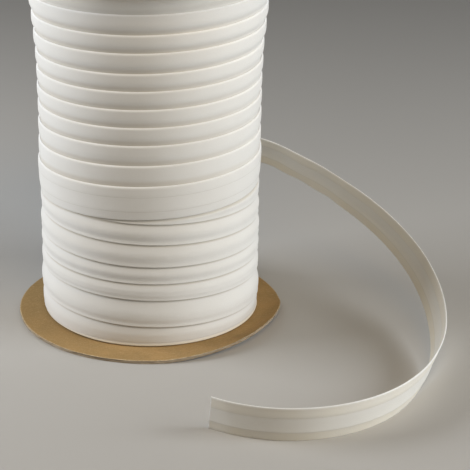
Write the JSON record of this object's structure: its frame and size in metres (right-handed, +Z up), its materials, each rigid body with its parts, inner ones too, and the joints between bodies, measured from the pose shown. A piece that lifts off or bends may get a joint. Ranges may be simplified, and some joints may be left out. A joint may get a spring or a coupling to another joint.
{
  "type": "roll of bias tape",
  "caption": "Tall roll of off-white bias tape cross-wound on a spool between two round kraft card discs, with a long loose end that curls round to the front.",
  "frame": {"origin": "on the roll's axis, at the underside of the lower disc, on the surface that the roll stands on", "axes": "+Z up along the roll's axis; -Y is the front, where the loose end's cut end stands; +X is the side that the loose end goes round"},
  "size_m": [0.3126, 0.3156, 0.2688],
  "materials": {
    "tape": "off-white plain-woven cotton and polyester tape with folded-in edges, matt with a slight sheen",
    "card": "brown kraft card with fine flecks, a pale worn rim and a rough cut edge"
  },
  "bodies": {
    "root": {"wound_tape": "tape", "loose_end": "tape", "bottom_flange": "card", "top_flange": "card"}
  },
  "joints": []
}
